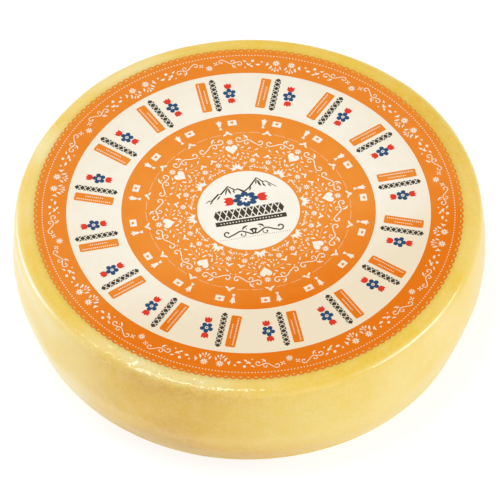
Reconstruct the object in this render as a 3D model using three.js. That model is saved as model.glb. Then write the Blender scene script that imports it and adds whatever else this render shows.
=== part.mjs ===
// A whole wheel of semi-hard cheese with a printed paper label on its upper face.
//
// Units are millimetres and +Z is up. The origin is the centre of the flat underside.
// The cheese is one solid, because its rind forms on the paste and never comes apart from it.
// The paper label is a separate disc with a scalloped lace edge, glued to the flat upper face.

import * as THREE from 'three';

// Driving dimensions of the wheel.
const WHEEL_DIAMETER = 300;
const WHEEL_HEIGHT = 77;
const WIDEST_HEIGHT = 42;
const UPPER_FLAT_DIAMETER = 283;
const LOWER_FLAT_DIAMETER = 272;
const EDGE_RADIUS = 6;

// Driving dimensions of the label.
const LABEL_DIAMETER = 271;
const LABEL_THICKNESS = 0.2;
const SCALLOP_COUNT = 180;
const SCALLOP_DEPTH = 1.2;

// How finely the round stretches are divided.
const WHEEL_SEGMENTS = 96;
const EDGE_STEPS = 4;
const SIDE_STEPS = 4;
const SCALLOP_STEPS = 4;

// A mesh with its own plain material.
function makePiece(name, geometry, color, roughness) {
  const material = new THREE.MeshStandardMaterial({ color, roughness, metalness: 0 });
  const mesh = new THREE.Mesh(geometry, material);
  mesh.name = name;
  return mesh;
}

// Points along an arc about (radius, height), from one angle to another in the profile's plane.
function arcPoints(centreRadius, centreHeight, arcRadius, fromAngle, toAngle, steps) {
  const clockwise = toAngle < fromAngle;
  const arc = new THREE.ArcCurve(centreRadius, centreHeight, arcRadius, fromAngle, toAngle, clockwise);
  return arc.getPoints(steps);
}

// One half of the wheel's section: the side swells out of the rounded edge of a flat face, and is
// widest where the two halves meet. 'rise' is the height of the half. 'up' is 1 for the upper half
// and -1 for the lower one.
function halfProfile(flatDiameter, rise, up) {
  const wheelRadius = WHEEL_DIAMETER / 2;
  const flatRadius = flatDiameter / 2;
  const edgeRise = rise - EDGE_RADIUS;
  const sideSwell = wheelRadius - flatRadius - EDGE_RADIUS;

  // The side's arc leans by this angle where it runs smoothly into the edge's arc.
  const lean = 2 * Math.atan(sideSwell / edgeRise);
  const sideRadius = edgeRise / Math.sin(lean) + EDGE_RADIUS;
  const edgeHeight = WIDEST_HEIGHT + up * edgeRise;
  const quarterTurn = Math.PI / 2;

  const side = arcPoints(wheelRadius - sideRadius, WIDEST_HEIGHT, sideRadius, 0, up * lean, SIDE_STEPS);
  const edge = arcPoints(flatRadius, edgeHeight, EDGE_RADIUS, up * lean, up * quarterTurn, EDGE_STEPS);

  // The two arcs share the point where they meet.
  return [...side, ...edge.slice(1)];
}

// Half of the wheel's section, from the axis at the underside to the axis at the upper face.
function wheelProfile() {
  const lower = halfProfile(LOWER_FLAT_DIAMETER, WIDEST_HEIGHT, -1);
  const upper = halfProfile(UPPER_FLAT_DIAMETER, WHEEL_HEIGHT - WIDEST_HEIGHT, 1);
  return [
    new THREE.Vector2(0, 0),
    ...lower.reverse(),
    ...upper.slice(1),
    new THREE.Vector2(0, WHEEL_HEIGHT),
  ];
}

function makeCheeseWheel() {
  const geometry = new THREE.LatheGeometry(wheelProfile(), WHEEL_SEGMENTS);
  geometry.rotateX(Math.PI / 2);
  return makePiece('cheese_wheel', geometry, '#f2d780', 0.45);
}

// The label's outline, which swells out once for each scallop of its lace edge.
function labelOutline() {
  const rootRadius = LABEL_DIAMETER / 2 - SCALLOP_DEPTH;
  const outline = new THREE.Shape();
  const pointCount = SCALLOP_COUNT * SCALLOP_STEPS;
  for (let i = 0; i < pointCount; i += 1) {
    const angle = (i / pointCount) * 2 * Math.PI;
    const swell = Math.abs(Math.sin((angle * SCALLOP_COUNT) / 2));
    const radius = rootRadius + SCALLOP_DEPTH * swell;
    const x = radius * Math.cos(angle);
    const y = radius * Math.sin(angle);
    if (i === 0) {
      outline.moveTo(x, y);
    } else {
      outline.lineTo(x, y);
    }
  }
  outline.closePath();
  return outline;
}

function makePaperLabel() {
  const settings = { depth: LABEL_THICKNESS, bevelEnabled: false };
  const geometry = new THREE.ExtrudeGeometry(labelOutline(), settings);
  const label = makePiece('paper_label', geometry, '#e98a35', 0.6);
  label.position.z = WHEEL_HEIGHT;
  return label;
}

const cheese = new THREE.Group();
cheese.add(makeCheeseWheel());
cheese.add(makePaperLabel());

export default cheese;
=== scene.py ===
# A whole wheel of semi-hard cheese, lying flat, with a printed paper label on its upper face.
import math

import bmesh
import bpy
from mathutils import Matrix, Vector, noise
from mathutils.geometry import delaunay_2d_cdt


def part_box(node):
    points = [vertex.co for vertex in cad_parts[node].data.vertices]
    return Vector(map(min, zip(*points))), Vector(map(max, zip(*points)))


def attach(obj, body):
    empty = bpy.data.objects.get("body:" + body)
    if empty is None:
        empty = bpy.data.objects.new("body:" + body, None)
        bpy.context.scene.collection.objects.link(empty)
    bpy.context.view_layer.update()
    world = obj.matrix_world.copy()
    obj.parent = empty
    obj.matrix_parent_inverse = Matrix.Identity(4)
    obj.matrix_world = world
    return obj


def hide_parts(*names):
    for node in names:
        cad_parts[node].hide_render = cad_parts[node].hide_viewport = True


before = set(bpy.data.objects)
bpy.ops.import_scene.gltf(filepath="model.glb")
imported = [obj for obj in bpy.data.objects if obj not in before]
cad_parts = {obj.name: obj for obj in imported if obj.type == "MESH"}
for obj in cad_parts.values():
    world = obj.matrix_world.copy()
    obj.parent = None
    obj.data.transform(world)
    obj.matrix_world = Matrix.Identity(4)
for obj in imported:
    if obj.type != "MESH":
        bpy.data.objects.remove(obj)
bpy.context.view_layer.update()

MM = 0.001

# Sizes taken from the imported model, in metres.
wheel_low, wheel_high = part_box("cheese_wheel")
label_low, label_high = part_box("paper_label")
WHEEL_RADIUS = (wheel_high[0] - wheel_low[0]) / 2
WHEEL_HEIGHT = wheel_high[2] - wheel_low[2]
LABEL_RADIUS = (label_high[0] - label_low[0]) / 2
LABEL_TOP = label_high[2]
LABEL_UNDERSIDE = WHEEL_HEIGHT + 0.02 * MM

# The direction, round the wheel, towards which the label's colours are painted darker as shade.
FRONT = math.radians(292)


# ---------------------------------------------------------------------------
# Small helpers
# ---------------------------------------------------------------------------


def ease(low, high, value):
    """0 below low, 1 above high, and a smooth rise between them."""
    share = min(max((value - low) / (high - low), 0.0), 1.0)
    return share * share * (3 - 2 * share)


def make_object(name, bm, materials):
    """A smooth-shaded object from a finished bmesh."""
    mesh = bpy.data.meshes.new(name)
    bm.to_mesh(mesh)
    bm.free()
    for material in materials:
        mesh.materials.append(material)
    piece = bpy.data.objects.new(name, mesh)
    bpy.context.collection.objects.link(piece)
    return piece


# ---------------------------------------------------------------------------
# Materials
# ---------------------------------------------------------------------------


class Shader:
    """A new material with its Principled shader, and short calls that add and join nodes."""

    def __init__(self, name):
        self.material = bpy.data.materials.new(name)
        self.material.use_nodes = True
        self.tree = self.material.node_tree
        self.principled = self.tree.nodes["Principled BSDF"]
        self.coordinates = self.node("ShaderNodeTexCoord").outputs["Object"]

    def node(self, kind, **settings):
        new = self.tree.nodes.new(kind)
        for name, value in settings.items():
            setattr(new, name, value)
        return new

    def link(self, output, target):
        self.tree.links.new(output, target)

    def set(self, **values):
        """Sets numbers or colours on the Principled shader's own sockets."""
        for name, value in values.items():
            self.principled.inputs[name.replace("_", " ")].default_value = value

    def noise(self, size, detail=3.0, roughness=0.5, source=None):
        """A noise whose features measure about the given size in metres."""
        texture = self.node("ShaderNodeTexNoise")
        texture.inputs["Scale"].default_value = 1 / size
        texture.inputs["Detail"].default_value = detail
        texture.inputs["Roughness"].default_value = roughness
        self.link(source or self.coordinates, texture.inputs["Vector"])
        return texture.outputs["Fac"]

    def attribute(self, name):
        """A number that the piece's mesh carries at every vertex."""
        return self.node("ShaderNodeAttribute", attribute_name=name).outputs["Fac"]

    def ramp(self, value, low, high, to_low=0.0, to_high=1.0):
        """Maps a value from one range to another, held inside it."""
        remap = self.node("ShaderNodeMapRange", clamp=True)
        self.link(value, remap.inputs["Value"])
        remap.inputs["From Min"].default_value = low
        remap.inputs["From Max"].default_value = high
        remap.inputs["To Min"].default_value = to_low
        remap.inputs["To Max"].default_value = to_high
        return remap.outputs["Result"]

    def math(self, operation, first, second):
        node = self.node("ShaderNodeMath", operation=operation)
        for socket, value in zip(node.inputs, (first, second)):
            if isinstance(value, (int, float)):
                socket.default_value = value
            else:
                self.link(value, socket)
        return node.outputs["Value"]

    def mix(self, share, first, second):
        """A colour between two, each a colour or an output."""
        node = self.node("ShaderNodeMix", data_type="RGBA")
        for name, value in (("Factor", share), ("A", first), ("B", second)):
            socket = next(s for s in node.inputs if s.name == name and s.enabled)
            if isinstance(value, (int, float, tuple)):
                socket.default_value = value
            else:
                self.link(value, socket)
        return next(s for s in node.outputs if s.enabled)

    def bump(self, height, distance, strength=1.0, under=None):
        node = self.node("ShaderNodeBump")
        node.inputs["Strength"].default_value = strength
        node.inputs["Distance"].default_value = distance
        self.link(height, node.inputs["Height"])
        if under is not None:
            self.link(under, node.inputs["Normal"])
        return node.outputs["Normal"]

    def distance_from_axis(self, place):
        """How far a place is from the upright middle line, given its separate coordinates."""
        squares = [self.math("MULTIPLY", place.outputs[name], place.outputs[name]) for name in ("X", "Y")]
        return self.math("SQRT", self.math("ADD", *squares), 0.0)

    def finish(self, colour=None, roughness=None, normal=None):
        for output, name in ((colour, "Base Color"), (roughness, "Roughness"), (normal, "Normal")):
            if output is not None:
                self.link(output, self.principled.inputs[name])
        return self.material


def rind_material():
    """The waxy yellow rind: mottled, paler down the side, with a fine grain, and with painted shade and
    painted light.
    """
    shader = Shader("waxy_rind")
    place = shader.node("ShaderNodeSeparateXYZ")
    shader.link(shader.coordinates, place.inputs["Vector"])
    distance = shader.distance_from_axis(place)

    patches = shader.noise(45 * MM, detail=2.0)
    mottle = shader.noise(9 * MM, detail=4.0, roughness=0.6)
    grain = shader.noise(1.8 * MM, detail=3.0, roughness=0.6)

    deep = (0.785, 0.520, 0.038, 1)
    mellow = (0.80, 0.57, 0.090, 1)
    ochre = (0.66, 0.375, 0.015, 1)
    brown = (0.50, 0.30, 0.045, 1)
    pale = (0.87, 0.76, 0.40, 1)
    white = (0.91, 0.87, 0.72, 1)
    side = shader.math("MAXIMUM", shader.ramp(distance, 142 * MM, 149 * MM),
                       shader.ramp(place.outputs["Z"], 44 * MM, 40 * MM))
    side = shader.math("ADD", side, shader.ramp(patches, 0.3, 0.7, -0.15, 0.15))
    colour = shader.mix(side, deep, mellow)
    # Painted shade: ochre and brown darken the front-left side and its low part; on the rim at the back
    # right they give a deeper tone.
    shade_and_deep_tone = shader.attribute("shade_and_deep_tone")
    colour = shader.mix(shader.ramp(shade_and_deep_tone, 0.0, 1.0), colour, ochre)
    colour = shader.mix(shader.ramp(shade_and_deep_tone, 0.9, 1.7, 0.0, 0.55), colour, brown)
    # Painted light: pale and white stand in for sheen on the rim and side, a highlight on the upper edge
    # and light at the foot.
    painted_light = shader.attribute("painted_light")
    colour = shader.mix(shader.ramp(painted_light, 0.0, 1.3, 0.0, 0.85), colour, pale)
    colour = shader.mix(shader.ramp(painted_light, 1.2, 2.4, 0.0, 0.9), colour, white)
    colour = shader.mix(shader.ramp(mottle, 0.4, 0.75, 0.0, 0.16), colour, pale)
    colour = shader.mix(shader.ramp(grain, 0.5, 0.8, 0.0, 0.25), colour, pale)
    # A painted shadow darkens the rim in a band just outside the label's edge.
    shade = shader.ramp(distance, 135.2 * MM, 138.5 * MM, 0.4, 0.0)
    colour = shader.mix(shade, colour, (0.62, 0.40, 0.04, 1))

    creased = shader.attribute("crease")
    roughness = shader.ramp(mottle, 0.3, 0.7, 0.36, 0.48)
    normal = shader.bump(shader.noise(6 * MM, detail=3.0), 0.2 * MM, 0.4)
    normal = shader.bump(grain, 0.15 * MM, 0.4, under=normal)
    dimples = shader.math("MULTIPLY", shader.noise(2.2 * MM, detail=2.0, roughness=0.6), creased)
    normal = shader.bump(dimples, 1.7 * MM, 1.0, under=normal)
    shader.set(Subsurface_Weight=0.2, Subsurface_Radius=(0.008, 0.005, 0.0015),
               Subsurface_Scale=1.0, IOR=1.25, Coat_Weight=0.42, Coat_Roughness=0.1, Coat_IOR=2.0,
               Sheen_Weight=0.15, Sheen_Roughness=0.2)
    return shader.finish(colour, roughness, normal)


def ink_material(name, lighter_colour, darker_colour, roughness):
    """Printing ink on satin paper. It is warmer and darker towards the front, as painted shade, and round
    the outside.
    """
    shader = Shader(name)
    place = shader.node("ShaderNodeSeparateXYZ")
    shader.link(shader.coordinates, place.inputs["Vector"])
    # Painted shade: darker towards the front. The outside ring and a random cloud also darken it.
    along = shader.math("MULTIPLY", place.outputs["X"], math.cos(FRONT))
    ahead = shader.math("MULTIPLY", place.outputs["Y"], math.sin(FRONT))
    front = shader.ramp(shader.math("ADD", along, ahead), 22 * MM, 90 * MM, 0.0, 0.9)
    outside = shader.ramp(shader.distance_from_axis(place), 50 * MM, 115 * MM, 0.0, 0.45)
    cloud = shader.ramp(shader.noise(9 * MM, detail=3.0), 0.3, 0.7, -0.1, 0.1)
    tone = shader.math("ADD", shader.math("ADD", front, outside), cloud)
    fibre = shader.noise(0.8 * MM, detail=3.0, roughness=0.7)
    colour = shader.mix(tone, lighter_colour, darker_colour)
    gloss = shader.ramp(fibre, 0.3, 0.7, roughness - 0.06, roughness + 0.06)
    normal = shader.bump(fibre, 0.03 * MM, 0.4)
    normal = shader.bump(shader.noise(30 * MM, detail=1.0), 0.5 * MM, 0.3, under=normal)
    shader.set(Specular_IOR_Level=0.08)
    return shader.finish(colour, gloss, normal)


# ---------------------------------------------------------------------------
# The cheese
# ---------------------------------------------------------------------------

UPPER_FLAT = WHEEL_RADIUS - 8.5 * MM
LOWER_FLAT = WHEEL_RADIUS - 14 * MM
WIDEST_HEIGHT = 42 * MM
EDGE_RADIUS = 6 * MM
WHEEL_STEPS = 720
SIDE_ROWS = 24
EDGE_ROWS = 16


def arc(centre, radius, start, end, steps):
    """Points on an arc in the plane of the wheel's section, from one angle to another."""
    angles = [start + (end - start) * step / steps for step in range(steps + 1)]
    return [(centre[0] + radius * math.cos(a), centre[1] + radius * math.sin(a)) for a in angles]


def half_section(flat, rise, up):
    """From the widest place of the side, round the edge and on to a flat face. up is 1 or -1."""
    edge_rise = rise - EDGE_RADIUS
    swell = WHEEL_RADIUS - flat - EDGE_RADIUS
    lean = 2 * math.atan(swell / edge_rise)
    side_radius = edge_rise / math.sin(lean) + EDGE_RADIUS
    middle = (WHEEL_RADIUS - side_radius, WIDEST_HEIGHT)
    edge_middle = (flat, WIDEST_HEIGHT + up * edge_rise)
    side = arc(middle, side_radius, 0, up * lean, SIDE_ROWS)
    edge = arc(edge_middle, EDGE_RADIUS, up * lean, up * math.pi / 2, EDGE_ROWS)
    return side + edge[1:]


def wheel_section():
    """Half of the section, from the middle of the underside round to the middle of the top."""
    under = [(LOWER_FLAT * step / 18, 0.0) for step in range(18)]
    lower = half_section(LOWER_FLAT, WIDEST_HEIGHT, -1)[::-1]
    upper = half_section(UPPER_FLAT, WHEEL_HEIGHT - WIDEST_HEIGHT, 1)
    rim = [(LABEL_RADIUS + step * MM, WHEEL_HEIGHT) for step in (4.4, 2.8, 1.4, 0.2, -1.0, -4.0)]
    top = rim + [(radius * MM, WHEEL_HEIGHT) for radius in (100, 50, 0)]
    return under + lower + upper[1:] + top


def lobe(angle, middle, narrow):
    """1 in a direction, falling to 0 on both sides of it. Angles are in degrees."""
    return max(math.cos(math.radians(angle - middle)), 0.0) ** narrow


def rind_lift(place, normal):
    """How far the rind stands out of the even shape at a place, in metres."""
    angle = math.degrees(math.atan2(place.y, place.x))
    distance = math.hypot(place.x, place.y)
    open_rind = ease(LABEL_RADIUS + 0.5 * MM, UPPER_FLAT, distance) if place.z > WIDEST_HEIGHT else 1.0

    # The wheel was pressed a little out of round: fuller behind on the right, flatter on the left.
    out_of_round = 2.0 * MM * lobe(angle, 36, 8) - 1.4 * MM * lobe(angle, 150, 4)
    lift = out_of_round * ease(20 * MM, 60 * MM, place.z) * (1 - max(normal.z, 0))
    lift -= 0.25 * MM + 0.25 * MM * max(normal.z, 0)
    lift -= 1.1 * MM * ease(38 * MM, 22 * MM, place.z) * ease(LOWER_FLAT - 20 * MM, LOWER_FLAT, distance)
    lift += 0.5 * MM * noise.noise(place / 0.075)
    lift += 0.2 * MM * noise.noise(place / 0.017)
    lift += 0.06 * MM * noise.noise(place / 0.005)

    # Where the cloth creased the upper edge the rind is wrinkled.
    creased = lobe(angle, 248, 9) * ease(62 * MM, 72 * MM, place.z)
    wrinkle = abs(noise.noise(place / 0.0045)) + 0.7 * abs(noise.noise(place / 0.0025))
    lift -= creased * 0.9 * MM * wrinkle

    # The underside is flatter, and nowhere below the even shape.
    under = ease(-0.38, -0.62, normal.z)
    lift = (1 - under) * lift - under * 0.3 * abs(lift)
    return lift * open_rind


def rind_move(place, normal):
    """The way a place on the even shape moves to its place on the real rind."""
    move = normal * rind_lift(place, normal)
    angle = math.degrees(math.atan2(place.y, place.x))
    distance = math.hypot(place.x, place.y)
    on_edge = ease(UPPER_FLAT - 1 * MM, UPPER_FLAT + 2 * MM, distance) * ease(56 * MM, 71 * MM, place.z)

    # The upper edge is sharper and fuller on the left.
    push = 1.7 * MM * lobe(angle, 198, 14) * on_edge
    move += Vector((place.x, place.y, 0)).normalized() * push
    return move


def held_in(place):
    """The place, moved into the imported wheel's box where it is outside."""
    return Vector(min(max(value, low), high) for value, low, high in zip(place, wheel_low, wheel_high))


def rind_tones(place):
    """How much painted shade and deeper tone, how much painted light, and how creased the rind is at a
    place. 0 is not at all, and 1 is well so.
    """
    angle = math.degrees(math.atan2(place.y, place.x))
    distance = math.hypot(place.x, place.y)
    cloud = noise.noise(place / 0.03)
    on_side = ease(UPPER_FLAT, WHEEL_RADIUS - 1.5 * MM, distance) if place.z > WIDEST_HEIGHT else 1.0
    low = ease(34 * MM, 8 * MM, place.z)
    # Painted shade on the front-left side and its low part, and a deeper tone on the rim at the back
    # right.
    shade_and_tone_share = on_side * (lobe(angle, 247, 12) + 0.9 * low * lobe(angle, 257, 7)) * (0.95 + 0.5 * cloud)
    shade_and_tone_share += (1 - on_side) * 0.45 * lobe(angle, 30, 10)
    # Painted sheen pales the rim and the side where the lamps shine on them.
    rim_painted_light = 0.95 * lobe(angle, 247, 16) + 1.35 * lobe(angle, 142, 8) + 0.2 * lobe(angle, 181, 14)
    rim_painted_light += 0.3 * lobe(angle, 350, 8) + 0.2 * lobe(angle, 277, 60)
    side_painted_light = 0.85 * lobe(angle, 203, 10) + 0.42 * lobe(angle, 317, 6) * ease(10 * MM, 50 * MM, place.z)
    painted_light = ((1 - on_side) * rim_painted_light + on_side * side_painted_light) * (1 + cloud)

    # A painted highlight makes the upper edge nearly white on the left, and a little paler on the right.
    ridge = ease(74.2 * MM, 75.2 * MM, place.z) * ease(76.3 * MM, 75.5 * MM, place.z)
    painted_light += (2.2 * lobe(angle, 196, 26) + 1.2 * lobe(angle, 316, 30)) * ridge
    # Painted light pales the foot, where the floor's shade falls.
    painted_light += 0.4 * ease(7 * MM, 3 * MM, place.z)
    crease = lobe(angle, 250, 8) * ease(60 * MM, 71 * MM, place.z)
    outer = ease(80 * MM, 130 * MM, distance)
    return shade_and_tone_share * outer, painted_light * outer, crease


def make_cheese():
    """The cheese: its section spun round the axis, then pressed, wrinkled and given its tones."""
    bm = bmesh.new()
    section = [bm.verts.new((x, 0, z)) for x, z in wheel_section()]
    edges = [bm.edges.new(pair) for pair in zip(section, section[1:])]
    bmesh.ops.spin(bm, geom=section + edges, cent=(0, 0, 0), axis=(0, 0, 1), dvec=(0, 0, 0),
                   angle=math.tau, steps=WHEEL_STEPS, use_merge=True)
    bmesh.ops.remove_doubles(bm, verts=bm.verts, dist=0.005 * MM)
    bmesh.ops.recalc_face_normals(bm, faces=bm.faces)
    bm.normal_update()
    layers = [bm.verts.layers.float.new(name) for name in ("shade_and_deep_tone", "painted_light", "crease")]
    moves = [(vert, rind_move(vert.co, vert.normal)) for vert in bm.verts]
    for vert, move in moves:
        for layer, value in zip(layers, rind_tones(vert.co)):
            vert[layer] = value
        vert.co = held_in(vert.co + move)
    for face in bm.faces:
        face.smooth = True
    return make_object("cheese_rind", bm, [rind_material()])


# ---------------------------------------------------------------------------
# The label's drawing, in millimetres
#
# A motif is an outline, which is a list of (across, out) points. Most are drawn for one slice
# of the label, where out is the distance from the label's centre and across runs sideways.
# ---------------------------------------------------------------------------


def circle(radius, steps=10, x=0.0, y=0.0):
    """A round dot or ring edge."""
    angles = [math.tau * step / steps for step in range(steps)]
    return [(x + radius * math.cos(a), y + radius * math.sin(a)) for a in angles]


def drop(length, width, steps=10):
    """A tear drop whose tail is at the start and whose round head points outwards."""
    outline = []
    for step in range(steps):
        a = math.tau * step / steps
        outline.append((width * 0.62 * math.sin(a) * math.sin(a / 2) ** 1.6,
                        length * (1 - math.cos(a)) / 2))
    return outline


def leaf(length, width, bend=0.0, steps=5):
    """A leaf with two sharp ends, bent sideways by a share of its length."""
    sides = ([], [])
    for step in range(steps + 1):
        share = step / steps
        middle = bend * length * math.sin(math.pi * share)
        half = width / 2 * math.sin(math.pi * share) ** 0.8
        sides[0].append((middle + half, length * share))
        sides[1].append((middle - half, length * share))
    return sides[0] + sides[1][-2:0:-1]


def heart(width, height, steps=28):
    """A heart that points inwards."""
    outline = []
    for step in range(steps):
        a = math.tau * (step + 0.5) / steps
        x = math.sin(a) ** 3
        y = (13 * math.cos(a) - 5 * math.cos(2 * a) - 2 * math.cos(3 * a) - math.cos(4 * a)) / 16
        outline.append((x * width / 2, (y + 0.18) * height / 1.8))
    return outline


def rosette(petals, outer, inner, steps=4, sharpness=1.5):
    """A flower whose edge swings between two radii. Its petals are round below a sharpness of 1."""
    outline = []
    for step in range(petals * steps):
        a = math.tau * step / (petals * steps)
        swing = abs(math.cos(petals * a / 2)) ** sharpness
        radius = inner + (outer - inner) * swing
        outline.append((radius * math.sin(a), radius * math.cos(a)))
    return outline


def lozenge(width, height):
    """A diamond with its points up, down and sideways."""
    return [(width / 2, 0), (0, height / 2), (-width / 2, 0), (0, -height / 2)]


def rounded_box(width, height, corner, steps=4):
    """A box with rounded corners."""
    outline = []
    for quarter, (sx, sy) in enumerate(((1, 1), (-1, 1), (-1, -1), (1, -1))):
        centre = (sx * (width / 2 - corner), sy * (height / 2 - corner))
        outline += arc(centre, corner, quarter * math.pi / 2, (quarter + 1) * math.pi / 2, steps)
    return outline


def volute(centre, outer, inner, start, sweep, steps=14):
    """Points on a spiral that tightens from one radius to another. Angles are in degrees."""
    points = []
    for step in range(steps + 1):
        share = step / steps
        a = math.radians(start + sweep * share)
        radius = outer + (inner - outer) * share
        points.append((centre[0] + radius * math.cos(a), centre[1] + radius * math.sin(a)))
    return points


def smooth(points, steps=3):
    """A rounded line through every point."""
    ends = [points[0]] + list(points) + [points[-1]]
    line = []
    for a, b, c, d in zip(ends, ends[1:], ends[2:], ends[3:]):
        for step in range(steps):
            t = step / steps
            line.append(tuple(
                0.5 * (2 * q + (r - p) * t + (2 * p - 5 * q + 4 * r - s) * t * t
                       + (3 * q - p - 3 * r + s) * t * t * t)
                for p, q, r, s in zip(a, b, c, d)))
    return line + [tuple(points[-1])]


def ribbon(line, width):
    """The outline of a pen stroke along a line, which thins to a point at its ends."""
    sides = ([], [])
    for index, (x, y) in enumerate(line):
        before = line[max(index - 1, 0)]
        after = line[min(index + 1, len(line) - 1)]
        run = math.hypot(after[0] - before[0], after[1] - before[1])
        share = index / (len(line) - 1)
        half = width / 2 * min(1.0, 0.35 + 5 * share, 0.35 + 5 * (1 - share))
        nx = -(after[1] - before[1]) / run * half
        ny = (after[0] - before[0]) / run * half
        sides[0].append((x + nx, y + ny))
        sides[1].append((x - nx, y - ny))
    return sides[0] + sides[1][::-1]


def moved(outline, x=0.0, y=0.0, turn=0.0, size=1.0):
    """An outline scaled, turned by some degrees and moved, in that order."""
    c = math.cos(math.radians(turn)) * size
    s = math.sin(math.radians(turn)) * size
    return [(x + px * c - py * s, y + px * s + py * c) for px, py in outline]


def between(outline_maker, tail, head, width, **settings):
    """A drop or a leaf that runs from one point to another."""
    run = (head[0] - tail[0], head[1] - tail[1])
    turn = math.degrees(math.atan2(-run[0], run[1]))
    return moved(outline_maker(math.hypot(*run), width, **settings), tail[0], tail[1], turn)


def flipped(outline):
    """An outline's mirror image across its slice's middle."""
    return [(-x, y) for x, y in outline]


artwork = []


def stamp(ink, outline, angle):
    """Prints an outline in the slice of the label that lies in a direction, in degrees."""
    c, s = math.cos(math.radians(angle)), math.sin(math.radians(angle))
    artwork.append((ink, [(out * c - across * s, out * s + across * c) for across, out in outline]))


def stamp_pair(ink, outline, angle):
    """Prints an outline on both sides of a slice's middle."""
    stamp(ink, outline, angle)
    stamp(ink, flipped(outline), angle)


ORANGE, CREAM, DARK, BLUE, RED, CUT = range(6)
SLICE = 22.5
FIRST_SLICE = 12.0

LACE_PITCH = 2.0
LACE_LOOP = 2.8
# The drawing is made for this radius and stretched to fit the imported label.
LABEL_MM = 134.0
STRETCH = LABEL_RADIUS / (LABEL_MM * MM)


def scroll(pen=0.6):
    """A double curl with a side shoot, a leaf and round ends."""
    near = volute((-4.9, -0.9), 2.2, 1.15, -50, -285)
    far = volute((8.7, -0.9), 2.2, 1.15, -130, 285)
    dip = [(-1.8, -1.5), (0.2, -0.3), (2.3, -0.3), (4.7, -1.6)]
    shoot = [(-0.5, -0.5)] + volute((0.45, -2.6), 1.5, 1.05, 170, 195, steps=7)
    return [
        ribbon(smooth(near[::-1] + dip + far, 2), pen),
        ribbon(smooth(shoot, 2), 0.5),
        circle(0.68, x=-4.3, y=-0.1),
        circle(0.6, x=8.1, y=-0.2),
        circle(0.55, x=1.35, y=-2.4),
        circle(0.4, x=-1.9, y=0.9),
        between(leaf, (0.5, 0.3), (-3.4, 3.1), 1.2, bend=0.16),
    ]


def sprout(size=1.0):
    """Five pointed leaves that fan out from one point."""
    fan = ((0, 2.0, 1.0), (48, 1.6, 0.8), (-48, 1.6, 0.8), (118, 3.4, 1.25), (-118, 3.4, 1.25))
    return [moved(leaf(length, width), turn=turn, size=size) for turn, length, width in fan]


def star(outer, inner):
    """A small flower with eight thin petals."""
    return rosette(8, outer, inner)


def tuft(width, height):
    """A bold zigzag tuft of grass whose middle blade is the tallest."""
    right = [(0.2, 0.48), (0.44, 0.84), (0.52, 0.3), (1.0, 0.36), (0.66, 0.12), (0.7, -0.08), (0.34, 0.02)]
    left = [(-x, y) for x, y in right[::-1]]
    outline = [(0, 1)] + right + [(0, 0.2)] + left
    return [(x * width / 2, y * height) for x, y in outline]


def tooth(width, height):
    """A small triangle that points along its own middle."""
    return [(-width / 2, 0), (width / 2, 0), (0, height)]


def draw_lace():
    """The die-cut edge: loops of paper with an opening in each."""
    ring = LABEL_MM - LACE_LOOP
    edge = []
    half = math.radians(LACE_PITCH / 2)
    reach = math.acos(ring * math.sin(half) / LACE_LOOP)
    steps = 7
    for loop in range(round(360 / LACE_PITCH)):
        middle = math.radians(loop * LACE_PITCH)
        for step in range(steps):
            a = middle - math.pi / 2 + reach + (math.pi - 2 * reach) * step / steps
            edge.append((ring * math.cos(middle) + LACE_LOOP * math.cos(a),
                         ring * math.sin(middle) + LACE_LOOP * math.sin(a)))
    artwork.append((ORANGE, edge))
    for loop in range(round(360 / LACE_PITCH)):
        opening = [(x, y if y > 0 else y * 0.3) for x, y in circle(0.88, steps=12)]
        stamp(CUT, moved(opening, 0, LABEL_MM - 2.0), loop * LACE_PITCH)


def draw_bands():
    """The rings of colour, and the row of dots inside the lace."""
    for radius, ink in ((113.6, CREAM), (79.3, ORANGE), (32.0, CREAM)):
        artwork.append((ink, circle(radius, steps=288)))
    for index in range(400):
        stamp(CREAM, circle(0.43, steps=6, y=128.6), index * 360 / 400)


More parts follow.
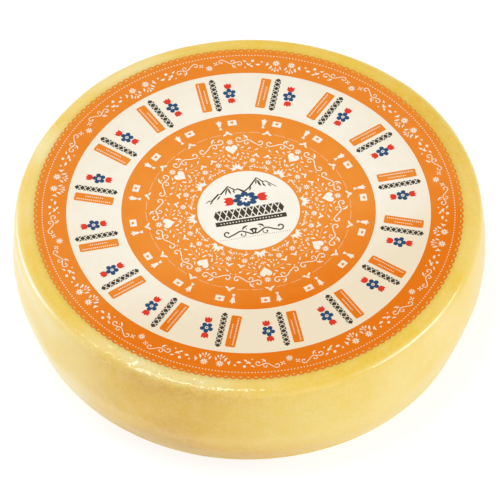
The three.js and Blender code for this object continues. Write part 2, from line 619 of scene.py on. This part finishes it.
def draw_border(angle):
    """The garland near the edge, for an eighth of the label."""
    stamp(CREAM, moved(star(2.4, 0.8), 0, 119.9), angle)
    stamp(ORANGE, circle(0.45, x=0, y=119.9), angle)
    for turn in (45, 135, 225, 315):
        stamp_pair(CREAM, moved(drop(1.7, 0.9), 4.7, 122.8, turn + 10), angle)
    for part in scroll():
        stamp_pair(CREAM, moved(part, 15.2, 120.6, 161, 0.85), angle)
    stamp_pair(CREAM, between(leaf, (22.2, 122.6), (24.4, 120.8), 1.0, bend=0.1), angle)
    stamp_pair(CREAM, circle(0.5, x=22.4, y=116.2), angle)
    stamp_pair(CREAM, between(leaf, (23.9, 119.6), (25.7, 117.2), 1.3), angle)
    stamp_pair(CREAM, between(leaf, (25.7, 117.4), (27.5, 115.4), 1.2), angle)
    stamp_pair(CREAM, between(leaf, (25.2, 118.0), (26.9, 118.8), 0.8), angle)
    stamp_pair(CREAM, circle(1.0, x=28.2, y=120.7), angle)

    # The pair of blossoms midway to the next star.
    halfway = angle + SLICE
    stamp_pair(CREAM, moved(star(2.6, 1.0), 4.9, 122.8), halfway)
    stamp_pair(ORANGE, circle(0.5, x=4.9, y=122.8), halfway)
    stamp_pair(CREAM, circle(0.5, x=4.8, y=119.0), halfway)
    stamp_pair(CREAM, between(drop, (4.7, 118.2), (4.7, 115.6), 1.3), halfway)
    stamp_pair(CREAM, between(drop, (3.8, 118.5), (2.4, 116.4), 1.2), halfway)
    stamp_pair(CREAM, between(drop, (5.6, 118.5), (7.0, 116.4), 1.2), halfway)
    stamp_pair(CREAM, between(leaf, (2.2, 120.9), (0.9, 118.0), 1.1, bend=-0.12), halfway)
    stamp_pair(CREAM, between(leaf, (7.5, 120.8), (8.9, 117.4), 1.3, bend=0.12), halfway)
    stamp_pair(CREAM, between(leaf, (10.6, 123.2), (11.2, 119.4), 1.2, bend=0.16), halfway)
    stamp_pair(CREAM, circle(0.6, x=9.8, y=121.2), halfway)
    stamp_pair(CREAM, circle(0.65, x=14.2, y=122.4), halfway)
    stamp_pair(CREAM, between(leaf, (14.6, 120.2), (17.8, 119.8), 1.5, bend=0.1), halfway)


def draw_plaque(angle):
    """An orange plate with two rows of small lozenges."""
    stamp(ORANGE, moved(rounded_box(6.4, 24.8, 1.0), 8.5, 96.6), angle)
    for index in range(17):
        stamp(CREAM, moved(lozenge(1.15, 1.0), 9.9, 96.6 + (index - 8) * 1.3), angle)
    for index in range(9):
        stamp(CREAM, moved(lozenge(1.0, 0.95), 7.3, 96.6 + (index - 4) * 1.3), angle)


def frieze(length, height, units):
    """A row of lozenges with teeth that fill the gaps between their points, along the x axis."""
    pitch = length / units
    shapes = []
    for index in range(units):
        shapes.append(moved(lozenge(pitch * 0.92, height), (index - (units - 1) / 2) * pitch, 0))
    for index in range(units - 1):
        x = (index - (units - 2) / 2) * pitch
        shapes.append(moved(tooth(pitch * 0.66, height * 0.36), x, -height / 2))
        shapes.append(moved(tooth(pitch * 0.66, height * 0.36), x, height / 2, 180))
    return shapes


def tulip(length, width):
    """A three-pointed tulip that opens outwards from its foot."""
    right = [(0.28, 0.04), (0.44, 0.2), (0.5, 0.45), (0.48, 0.7), (0.44, 0.94), (0.22, 0.76)]
    left = [(-x, y) for x, y in right[::-1]]
    return [(x * width, y * length) for x, y in [(0, 0)] + right + [(0, 1)] + left]


def draw_posy(angle):
    """A blue flower between two red tulips."""
    for side, turn in ((1, 0), (-1, 180)):
        stamp(RED, moved(tulip(4.6, 4.6), -8.2, 96.7 + side * 4.0, turn), angle)
    stamp(BLUE, moved(rosette(5, 4.2, 2.3, 8, sharpness=0.6), -8.2, 96.7), angle)
    stamp(CREAM, circle(1.15, x=-8.2, y=96.7), angle)
    stamp(BLUE, circle(0.5, steps=8, x=-8.2, y=96.7), angle)


def draw_tile_and_bell(angle):
    """A small tile with a heart in it, a cow bell and a sprout on a dotted line."""
    stamp(CREAM, moved(rounded_box(5.6, 4.2, 0.3, 2), -4.7, 72.3, 4), angle)
    stamp(ORANGE, moved(heart(2.2, 2.1), -4.7, 72.3), angle)
    stamp(CREAM, [(2.3, 67.7), (4.6, 67.9), (3.8, 70.0), (3.2, 70.0)], angle)
    bell = [(-0.8, -2.0), (0.8, -2.0), (1.3, 0.6), (2.0, 2.0), (-2.0, 2.0), (-1.3, 0.6)]
    stamp(CREAM, moved(bell, 3.6, 72.4), angle)
    stamp(CREAM, circle(0.55, x=3.6, y=74.9), angle)
    for part in sprout(1.05):
        stamp(CREAM, moved(part, 0, 64.2), angle)
    for index in range(10):
        step = 4.2 + index * 0.66
        stamp(CREAM, circle(0.2, steps=6, y=63.8), angle + step)
        stamp(CREAM, circle(0.2, steps=6, y=63.8), angle - step)


def draw_heart_garden(angle):
    """The heart with its scrolls, leaves and flowers, for an eighth of the label."""
    stamp(CREAM, moved(heart(7.7, 7.5), 0, 50.2), angle)
    stamp(CREAM, moved(star(2.35, 0.9), 0, 56.9), angle)
    stamp(ORANGE, circle(0.5, x=0, y=56.9), angle)
    for part in scroll():
        stamp_pair(CREAM, moved(part, 10.9, 57.0, -24), angle)

    drops = (((5.3, 50.6), (7.9, 51.5), 1.2), ((9.2, 49.0), (12.0, 50.2), 1.2),
             ((13.6, 47.2), (16.4, 48.2), 1.2), ((5.4, 47.7), (6.9, 45.4), 1.05),
             ((8.4, 46.4), (9.7, 44.4), 1.05), ((6.5, 43.6), (6.9, 41.6), 0.9),
             ((7.9, 43.5), (9.1, 42.1), 0.9), ((5.6, 44.6), (4.6, 43.1), 0.9))
    for tail, head, width in drops:
        stamp_pair(CREAM, between(drop, tail, head, width), angle)
    for index in range(7):
        x, y = 5.6 + index * 1.22, 49.1 - index * 0.5
        stamp_pair(CREAM, circle(0.24, steps=6, x=x, y=y), angle)
    leaves = (((1.8, 44.5), (3.4, 47.6), 1.1, 0.08), ((4.0, 55.1), (6.1, 52.8), 0.8, 0.16),
              ((2.9, 41.4), (5.0, 41.9), 0.9, -0.1), ((7.2, 34.5), (10.2, 35.7), 1.0, 0.14))
    for foot, tip, width, bend in leaves:
        stamp_pair(CREAM, between(leaf, foot, tip, width, bend=bend), angle)
    stamp(CREAM, between(drop, (0, 42.3), (0, 44.7), 1.0), angle)
    stamp_pair(CREAM, between(drop, (0.4, 42.3), (1.6, 43.9), 0.9), angle)
    for x, y, radius in ((1.9, 40.3, 0.45), (5.2, 36.4, 0.4), (13.6, 37.2, 0.42), (8.4, 32.9, 0.5),
                         (18.6, 49.0, 0.45)):
        stamp_pair(CREAM, circle(radius, steps=8, x=x, y=y), angle)
    stamp_pair(CREAM, moved(star(2.2, 0.8), 10.9, 39.4, 15), angle)
    stamp_pair(ORANGE, circle(0.5, x=10.9, y=39.4), angle)
    for head in ((4.3, 38.6), (5.6, 39.4), (7.2, 38.9)):
        stamp_pair(CREAM, between(drop, (5.9, 37.1), head, 0.75), angle)
    stamp(CREAM, moved(tuft(9.6, 6.4), 0, 33.6), angle)

    # Between two hearts.
    halfway = angle + SLICE
    for part in sprout(0.85):
        stamp_pair(CREAM, moved(part, 3.7, 45.2), halfway)
    stamp_pair(CREAM, circle(0.42, steps=8, x=1.6, y=39.2), halfway)
    for tail, head in (((0.3, 36.4), (1.5, 34.9)), ((1.9, 36.6), (2.9, 35.0)),
                       ((3.2, 36.5), (4.6, 35.2)), ((2.4, 37.0), (3.9, 37.4))):
        stamp_pair(CREAM, between(drop, tail, head, 0.9), halfway)


def draw_centre():
    """The middle of the label: a ridge of hills over a posy, a frieze, a bar and a flourish."""
    tilt = 11.5

    def ink(colour, outline):
        artwork.append((colour, moved(outline, turn=tilt)))

    ridge = ((-25, 10.6), (-22.5, 12.0), (-21, 11.6), (-16, 16.2), (-14.5, 15.8), (-9, 21.4), (-5, 17.6),
             (-3.4, 18.4), (0.5, 15.6), (4, 18.0), (10, 25.0), (13.5, 20.8), (15, 21.4), (21, 15.4))
    ink(DARK, ribbon(list(ridge), 1.1))
    slopes = (((-9, 20.4), (-11.8, 14.4), 1.0), ((-9, 20.2), (-8.0, 14.6), 1.2),
              ((-6.4, 18.0), (-5.6, 15.2), 1.0), ((-14.8, 14.9), (-17.6, 11.6), 1.0),
              ((-2.4, 17.0), (1.4, 14.8), 0.9), ((10, 23.9), (8.6, 19.6), 0.9),
              ((10.4, 23.4), (11.6, 17.6), 1.5), ((12.8, 20.6), (14.4, 16.8), 1.1),
              ((5.4, 18.4), (3.8, 15.2), 0.9), ((16, 19.4), (18.0, 16.2), 0.9),
              ((-20.4, 11.4), (-22.6, 8.8), 0.9))
    for top, foot, width in slopes:
        ink(DARK, between(leaf, top, foot, width, bend=0.05))

    for side, turn in ((-1, 90), (1, -90)):
        ink(RED, moved(tulip(6.4, 6.6), side * 7.6, 9.2, turn))
    ink(BLUE, [(x * 1.32, y + 9.2) for x, y in rosette(8, 6.2, 4.5, 8, sharpness=0.7)])
    ink(CREAM, [(x * 1.32, y + 9.2) for x, y in rosette(8, 2.9, 1.8, 6)])
    ink(BLUE, circle(0.8, 10, y=9.2))

    for shape in frieze(45, 7.8, 11):
        ink(DARK, moved(shape, 0, -1.3))
    ink(DARK, moved(rounded_box(45, 3.5, 0.2, 2), 0.1, -7.9))
    for index in range(21):
        ink(CREAM, moved(lozenge(1.1, 1.1), 0.1 + (index - 10) * 1.9, -7.9))

    for part in scroll(pen=0.85):
        ink(DARK, moved(part, 6.6, -15.6, 0, 1.15))
        ink(DARK, moved(flipped(part), -6.6, -15.6, 0, 1.15))
    for index in range(33):
        ink(DARK, circle(0.28, 6, x=(index - 16) * 1.36, y=-21.0))


def draw_label():
    draw_lace()
    draw_bands()
    for index in range(16):
        angle = FIRST_SLICE + index * SLICE
        draw_plaque(angle)
        for shape in frieze(27.9, 3.9, 8):
            stamp(DARK, moved(shape, 1.0, 96.7, 90), angle)
        draw_posy(angle)
        draw_tile_and_bell(angle)
    for index in range(8):
        angle = FIRST_SLICE + index * 2 * SLICE
        draw_border(angle)
        draw_heart_garden(angle)
    draw_centre()


# ---------------------------------------------------------------------------
# The label's sheet of paper
# ---------------------------------------------------------------------------


def counter_clockwise(outline):
    area = sum(a[0] * b[1] - b[0] * a[1] for a, b in zip(outline, outline[1:] + outline[:1]))
    return outline if area > 0 else outline[::-1]


def triangles_of(shapes):
    """Cuts the drawing into triangles, each with the number of the shape that was printed last."""
    points, faces = [], []
    for _, outline in shapes:
        first = len(points)
        points += [Vector(point) for point in counter_clockwise(outline)]
        faces.append(list(range(first, len(points))))
    spots, _, triangles, _, _, shape_numbers = delaunay_2d_cdt(points, [], faces, 1, 1e-5, True)
    covered = [(corners, max(numbers)) for corners, numbers in zip(triangles, shape_numbers) if numbers]
    return spots, covered


def add_sheet(bm, shapes, height, turned_over=False):
    """Adds one face of the paper at a height, with its cuts left open."""
    spots, triangles = triangles_of(shapes)
    unit = MM * STRETCH
    corners = [bm.verts.new((spot.x * unit, spot.y * unit, height)) for spot in spots]
    for numbers, shape in triangles:
        ink = shapes[shape][0]
        if ink != CUT:
            order = numbers[::-1] if turned_over else numbers
            face = bm.faces.new([corners[number] for number in order])
            face.material_index = ink
    bmesh.ops.delete(bm, geom=[vert for vert in corners if not vert.link_faces], context="VERTS")


def map_label(bm):
    """Lays the printed face flat over the whole map, and the plain paper small in one corner."""
    layer = bm.loops.layers.uv.new("OFBake")
    bm.normal_update()
    for face in bm.faces:
        middle, reach = (0.5, 0.495) if face.normal.z > 0.5 else (0.06, 0.05)
        for loop in face.loops:
            place = loop.vert.co * (reach / LABEL_RADIUS)
            loop[layer].uv = (middle + place.x, middle + place.y)


def make_label():
    """The label: a printed upper face, a cut edge and a plain underside."""
    draw_label()
    bm = bmesh.new()
    add_sheet(bm, artwork, LABEL_TOP)
    rim = [edge for edge in bm.edges if edge.is_boundary]
    wall = bmesh.ops.extrude_edge_only(bm, edges=rim)["geom"]
    for item in wall:
        if isinstance(item, bmesh.types.BMVert):
            item.co.z = LABEL_UNDERSIDE
        if isinstance(item, bmesh.types.BMFace):
            item.material_index = CREAM
    cuts = [shape for shape in artwork if shape[0] == CUT]
    add_sheet(bm, [(CREAM, artwork[0][1])] + cuts, LABEL_UNDERSIDE, turned_over=True)
    bmesh.ops.remove_doubles(bm, verts=bm.verts, dist=0.001 * MM)
    bmesh.ops.recalc_face_normals(bm, faces=bm.faces)
    map_label(bm)
    inks = [
        ink_material("orange_ink", (0.785, 0.262, 0.034, 1), (0.71, 0.163, 0.003, 1), 0.5),
        ink_material("cream_paper", (0.862, 0.82, 0.715, 1), (0.776, 0.664, 0.486, 1), 0.55),
        ink_material("dark_ink", (0.058, 0.047, 0.030, 1), (0.047, 0.038, 0.025, 1), 0.5),
        ink_material("blue_ink", (0.028, 0.076, 0.165, 1), (0.020, 0.060, 0.14, 1), 0.5),
        ink_material("red_ink", (0.72, 0.045, 0.022, 1), (0.65, 0.036, 0.016, 1), 0.5),
    ]
    return make_object("printed_label", bm, inks)


# ---------------------------------------------------------------------------
# Floor, lights and camera
# ---------------------------------------------------------------------------


CAMERA_ELEVATION = math.radians(50.6)
CAMERA_DISTANCE = 3.5
CAMERA_LENS = 396.6
CAMERA_AIM = Vector((0.9 * MM, 0, 37.65 * MM))
SKY_STRENGTH = 0.57
FLOOR_REACH = 40.0
FLOOR_RISE = 2.0


def make_floor():
    """A plain pale floor that rises a little far away, so that no edge of it shows."""
    shader = Shader("pale_floor")
    shader.set(Base_Color=(0.36, 0.36, 0.36, 1.0), Roughness=1.0, Specular_IOR_Level=0.0,
               Emission_Color=(1.0, 1.0, 1.0, 1.0), Emission_Strength=0.72)
    bm = bmesh.new()
    bmesh.ops.create_grid(bm, x_segments=40, y_segments=40, size=FLOOR_REACH)
    for vert in bm.verts:
        vert.co.z = FLOOR_RISE * ease(6.0, FLOOR_REACH, vert.co.length)
    for face in bm.faces:
        face.smooth = True
    make_object("floor", bm, [shader.material])


def add_softbox(name, azimuth, elevation, distance, width, height, power):
    """A light that faces the wheel from a direction given in degrees."""
    light = bpy.data.lights.new(name, "AREA")
    light.shape = "RECTANGLE"
    light.size = width
    light.size_y = height
    light.energy = power
    lamp = bpy.data.objects.new(name, light)
    turn, rise = math.radians(azimuth), math.radians(elevation)
    towards = Vector((math.cos(turn) * math.cos(rise), math.sin(turn) * math.cos(rise), math.sin(rise)))
    lamp.visible_camera = False
    lamp.location = towards * distance + Vector((0, 0, WHEEL_HEIGHT))
    lamp.rotation_euler = towards.to_track_quat("Z", "Y").to_euler()
    bpy.context.collection.objects.link(lamp)


def light_the_studio():
    """Narrow boxes draw the bright lines on the upper edge, and wide ones fill the side softly."""
    add_softbox("top_box", 178, 78, 1.6, 0.58, 0.66, 8.4)
    add_softbox("right_box", -12, 30, 1.6, 1.3, 0.1, 7)
    add_softbox("left_box", 165, 19, 1.6, 0.92, 0.03, 3.2)
    add_softbox("front_fill", 285, 18, 1.8, 1.4, 1.4, 5.1)
    add_softbox("left_fill", 190, 14, 1.8, 1.2, 1.2, 2.4)
    add_softbox("back_fill", 130, 28, 1.8, 1.0, 1.0, 2)
    world = bpy.data.worlds.new("studio")
    world.use_nodes = True
    world.node_tree.nodes["Background"].inputs["Color"].default_value = (1, 1, 1, 1)
    world.node_tree.nodes["Background"].inputs["Strength"].default_value = SKY_STRENGTH
    bpy.context.scene.world = world
    bpy.context.scene.view_settings.view_transform = "Standard"


def place_camera():
    """A long lens in front of the wheel, looking down on it."""
    data = bpy.data.cameras.new("camera")
    data.lens = CAMERA_LENS
    data.sensor_width = 36
    data.clip_end = 100
    camera = bpy.data.objects.new("camera", data)
    back = Vector((0, -math.cos(CAMERA_ELEVATION), math.sin(CAMERA_ELEVATION)))
    camera.location = CAMERA_AIM + back * CAMERA_DISTANCE
    camera.rotation_euler = back.to_track_quat("Z", "Y").to_euler()
    bpy.context.collection.objects.link(camera)
    bpy.context.scene.camera = camera


place_camera()
light_the_studio()
make_floor()

cheese = make_cheese()
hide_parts("cheese_wheel")
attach(cheese, "root")

label = make_label()
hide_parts("paper_label")
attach(label, "root")
